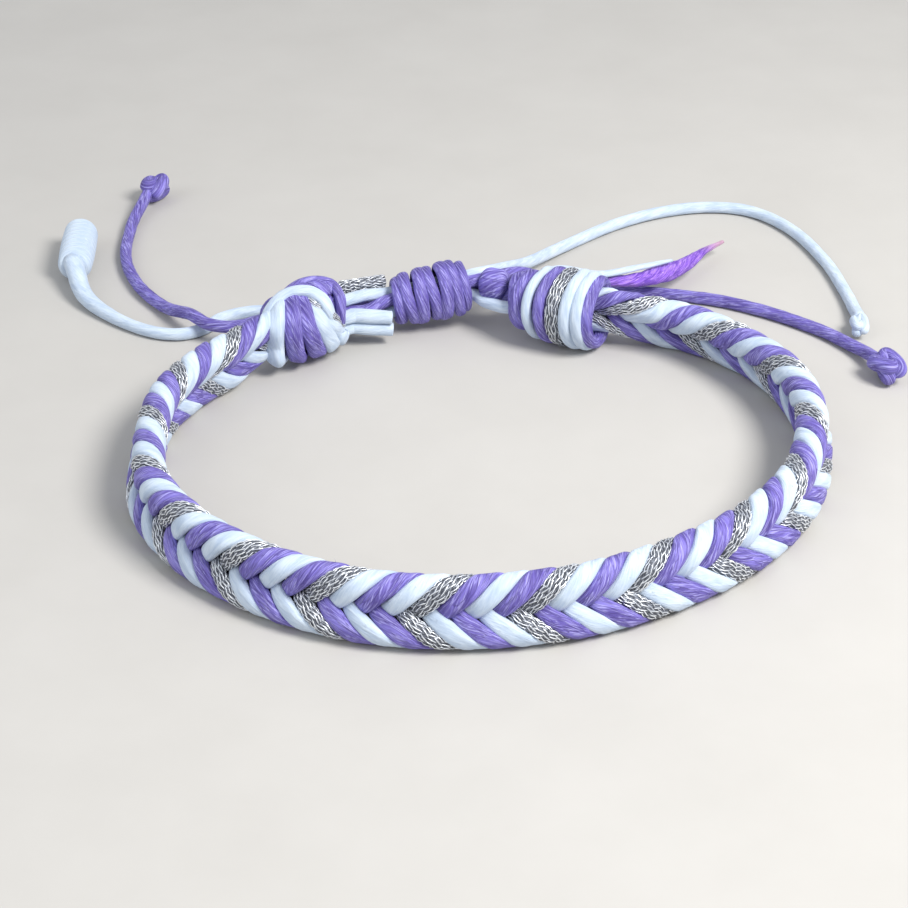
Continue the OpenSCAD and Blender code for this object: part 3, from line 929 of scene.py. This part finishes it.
def strand_path(band, number, step):
    """One cord of the braid, round both edges and through the middle of the band."""
    run = np.arange(-BURIED, band.length + BURIED, step)
    drift = FRONT_DRIFT * np.sin(math.pi * run / band.length)
    plain = TURN_PER_PITCH * (run / PITCH - number - FIRST_SILVER - drift)
    turn = plain + HALF_PITCH_SHIFT * np.sin(plain) + FACE_LEAD * np.sin(plain) ** 2
    uneven = 1 + sway(run, UNEVEN_LONG, number) + sway(run, UNEVEN_SHORT, number)
    size = GATHER + (1 - GATHER) * band.full_share(run)
    face, rise = band.directions(run)
    height = EDGE_REACH * (np.cos(turn) + STRAIGHTEN * np.cos(3 * turn)) * size
    depth = FACE_RISE * face_share(turn) * size * uneven
    middle = band.middle(run) + rise * height[:, None] + face * depth[:, None]
    flip = math.pi / 2 * (1 - np.sin(math.pi / 2 * np.sin(turn)))
    out = face * np.cos(flip)[:, None] + rise * np.sin(flip)[:, None]
    dive = np.clip(np.sin(turn) ** 2 * 2 - 1, 0, 1) ** 2
    wide = (ARM_HALF_WIDTH + (DIVE_HALF_WIDTH - ARM_HALF_WIDTH) * dive) * size * (2 - uneven)
    return Path(middle, out, wide, HALF_THICK * size, square=ARM_SQUARE)


def make_braid():
    """The eight strands, and the stray fibres of the soft ones."""
    band = Band()
    seen = {}
    for number, colour in enumerate(STRANDS):
        letter = "abc"[seen.setdefault(colour, 0)]
        seen[colour] += 1
        path = strand_path(band, number, STEPS[colour])
        dress(f"braid_{colour}_{letter}", colour, [path], f"strand_{colour}_{letter}")
        if colour in FIBRES:
            stray_fibres(f"stray_{colour}_{letter}", colour, path, *FIBRES[colour])


def stray_fibres(name, colour, path, count, longest):
    """Fine ends that stand out of a cord, curled along it."""
    shells = Shells()
    for _ in range(count):
        place = random.randrange(len(path.middle))
        angle = random.uniform(0, math.tau)
        out = path.across[place] * math.cos(angle) + path.out[place] * math.sin(angle)
        root = path.middle[place] + out * path.thick[place] * FIBRE_ROOT
        lean = path.along[place] * random.uniform(-FIBRE_LEAN, FIBRE_LEAN)
        curl = unit(np.array([random.uniform(-1, 1) for _ in range(3)]))
        length = random.uniform(FIBRE_SHORTEST, 1) * longest
        t = np.linspace(0, 1, FIBRE_POINTS)[:, None]
        rise = (out * FIBRE_OUT + lean) * t * length
        bend = (curl - out * FIBRE_DROOP) * t**2 * length * FIBRE_CURL
        middle = root + rise + bend
        middle[:, 2] = np.maximum(middle[:, 2], FIBRE_HALF)
        size = FIBRE_HALF * (1 - FIBRE_TAPER * t[:, 0])
        fibre = Path(middle, np.cross(middle[-1] - root, curl), size, size)
        shells.add(fibre.surface(angles(FIBRE_SIDES)), fibre.run)
    settle(shells.piece(name, FINISHES[colour]), SLOTS[colour])


def make_cords():
    """The four closure cords, laid along their routes, and the knots at their ends."""
    for name, route in CORD_ROUTES.items():
        colour = name.split("_")[0]
        line = even(smooth(route), CORD_STEP)
        line = np.vstack([line, line[-1] + unit(line[-1] - line[-2]) * TUCKED])
        gain, gain_l = SWELL.get(name, NO_SWELL)
        size = CORD_D / 2 + gain * ease(1 - (runs(line)[-1] - runs(line)) / gain_l)
        path = Path(line + UP * (size - CORD_D / 2)[:, None], UP, size, size)
        piece = dress(name + "_laid", colour, [path], name)
        make_end_knot(name)


def knot_axes(turn, tilt=0):
    """Rows: along the knot's axis, across it, and up from it."""
    turn = math.radians(turn)
    tilt = math.radians(tilt)
    along = np.array([math.cos(turn) * math.cos(tilt), math.sin(turn) * math.cos(tilt), math.sin(tilt)])
    across = np.array([-math.sin(turn), math.cos(turn), 0])
    return np.array([along, across, np.cross(along, across)])


def make_end_knot(name):
    """A small overhand knot pulled tight: one cord that crosses itself three times."""
    size = END_KNOTS[name]
    place = np.array(size["place"])
    colour = name.split("_")[0]
    node = name.replace("cord", "end_knot")
    axes = knot_axes(size["turn"])
    if "turns" in size:
        return wound_end(size, place, colour, node, axes)
    t = np.linspace(0, math.tau, END_KNOT_RINGS, endpoint=False)
    shape = np.column_stack([np.sin(3 * t), np.sin(t) + 2 * np.sin(2 * t), np.cos(t) - 2 * np.cos(2 * t)])
    room = (np.array([size["length"], size["width"], size["width"]]) - size["cord"]) / 2
    middle = (shape / np.abs(shape).max(0) * room) @ axes + place
    path = Path(middle, unit(middle - place), size["cord"] / 2, size["cord"] * END_KNOT_HALF_THICK, True)
    return dress(node + "_tied", colour, [path], node)


def wound_end(size, place, colour, node, axes):
    """A long end knot: turns of cord side by side over the cord's own end."""
    cord = size["cord"]
    half = (size["length"] - cord) / 2
    bundle = size["width"] / 2 - cord * WOUND_BUNDLE_DEPTH
    paths = [heart(place, axes, size["length"] + WOUND_BUNDLE_PAST, bundle, WOUND_BUNDLE_TAPER)]
    for at in np.linspace(-half, half, size["turns"]):
        radius = (size["width"] - cord) / 2 - WOUND_OUTER_LESS * (at / half) ** 2
        paths.append(hoop(place, axes, at, radius, cord * WOUND_HALF_WIDTH, cord / 2, WOUND_LEAN))
    return dress(node + "_wound", colour, paths, node)


def heart(centre, axes, length, radius, taper=HEART_TAPER):
    """The cords inside a knot, as one rounded bundle."""
    t = np.linspace(-1, 1, HEART_RINGS)
    size = radius * np.sqrt(1 - taper * t**4)
    return Path(t[:, None] * (length / 2 - HEART_SHORT) * axes[0] + centre, axes[2], size, size)


def hoop(centre, axes, place, radius, wide, thick, lean, bow=0, reach=FREE_REACH, rings=TURN_RINGS):
    """A turn of cord round a knot's axis, leaning some degrees, with its front bowed back along the axis."""
    t = np.arange(rings) / rings * math.tau
    across = radius * np.cos(t)
    up = radius * np.sin(t)
    front = np.clip(-np.cos(t), 0, 1)
    wobble = TURN_SWAY * np.sin(2 * t + TURN_SWAY_SHIFT * place)
    along = place + up * math.tan(math.radians(lean)) - bow * front + wobble
    along = reach * np.tanh(along / reach)
    middle = np.column_stack([along, across, up]) @ axes + centre
    out = unit(np.column_stack([0 * t, across, up])) @ axes
    return Path(middle, out, wide, thick, True)


def make_right_knot():
    """Side by side turns of the braid's cords, bowed to the left where the camera sees them."""
    centre = np.array(RIGHT_KNOT_AT)
    axes = knot_axes(RIGHT_KNOT_LAY_TURN)
    turns = [("purple", heart(centre, axes, RIGHT_KNOT_L, RIGHT_KNOT_HEART))]
    for colour, place, radius, wide, bow, lean in RIGHT_KNOT_TURNS:
        turn = hoop(centre, axes, place, radius, wide, RIGHT_KNOT_HALF_THICK, lean, bow, RIGHT_KNOT_REACH,
                    RIGHT_KNOT_RINGS)
        turns.append((colour, turn))
    lobe = NECK_LOBE
    bulge = heart(np.array(lobe["place"]), axes, lobe["length"], lobe["radius"], lobe["taper"])
    turns.append(("purple", bulge))
    dress_each("right_knot", turns, "right_knot")


def on_left_knot(places):
    """Points a little out from the knot's form, at places right and up of its middle for the camera."""
    axis = VIEW_AXES @ knot_axes(LEFT_KNOT_TURN)[0]
    right, up, height = places.T
    narrow = LEFT_KNOT_ROUND**-2
    stretch = LEFT_KNOT_REACH**-2 - narrow
    aside = axis[0] * right + axis[1] * up
    square = narrow + stretch * axis[2] ** 2
    half = stretch * axis[2] * aside
    rest = narrow * (right**2 + up**2) + stretch * aside**2 - 1
    front = (np.sqrt(np.maximum(half**2 - square * rest, 0)) - half) / square
    return np.column_stack([right, up, front + height])


def carried_back(point, share, depth):
    """A place behind a point for the camera, closer to the knot's middle."""
    return point * (share, share, 1) - (0, 0, depth)


def left_knot_lay(places, centre):
    """A cord over the left knot, with both its ends carried on round to its far side."""
    points = on_left_knot(np.array(places, float))
    first = carried_back(points[0], *LAY_START)
    turned = carried_back(points[-1], *LAY_TURNED)
    last = carried_back(points[-1], *LAY_END)
    return smooth(np.vstack([first, points, turned, last]) @ VIEW_AXES + centre)


def back_turn(centre, axes, place):
    """The part of a turn of cord that lies on the side away from the camera."""
    t = np.linspace(-1, 1, BACK_RINGS)
    angle = t * BACK_HALF_ANGLE
    radius = (BACK_RADIUS - BACK_BARREL * place**2) * (1 - BACK_SUNK * t**6)
    along = place + BACK_SWAY * np.sin(angle)
    middle = np.column_stack([along, radius * np.cos(angle), radius * np.sin(angle)])
    out = unit(middle * (0, 1, 1)) @ axes
    return Path(middle @ axes + centre, out, BACK_HALF_WIDTH, BACK_HALF_WIDTH * BACK_FLAT)


def make_left_knot():
    """Cords laid over the knot as the camera sees them, and plain turns on its far side."""
    centre = np.array(LEFT_KNOT_AT)
    axes = knot_axes(LEFT_KNOT_TURN)
    turns = [("purple", heart(centre, axes, LEFT_KNOT_L, LEFT_KNOT_HEART))]
    for colour, place in LEFT_KNOT_BACK:
        turns.append((colour, back_turn(centre, axes, place)))
    for colour, wide, places in LEFT_KNOT_LAYS:
        line = left_knot_lay(places, centre)
        line[:, 2] = np.maximum(line[:, 2], wide * LAY_LEAST_HEIGHT)
        turns.append((colour, Path(line, unit(line - centre), wide, wide * LAY_FLAT, square=LAY_SQUARE)))
    dress_each("left_knot", turns, "left_knot")


def make_sliding_knot():
    """Uneven turns of purple cord wound round the four closure cords."""
    centre = np.array(SLIDING_KNOT_AT)
    axes = knot_axes(SLIDING_KNOT_TURN, SLIDING_KNOT_TILT)
    paths = []
    for place, radius, wide, lean in SLIDING_KNOT_TURNS:
        paths.append(hoop(centre, axes, place, radius, wide, SLIDING_KNOT_HALF_THICK, lean))
    dress("sliding_knot_wound", "purple", paths, "sliding_knot")


def make_cut_ends():
    """The five cut ends, each as wide along its run as its widths say."""
    for name, end in CUT_ENDS.items():
        line = smooth(end["route"], FINE_STEPS)
        wide = smooth([[width, 0, 0] for width in end["widths"]], FINE_STEPS)[:, 0] / 2
        path = Path(line, UP, wide, wide * end["flat"])
        dress(name + "_loose", end["colour"], [path], name)


make_camera()
make_cords()
make_braid()
make_right_knot()
make_left_knot()
make_sliding_knot()
make_cut_ends()
make_table()
make_light()
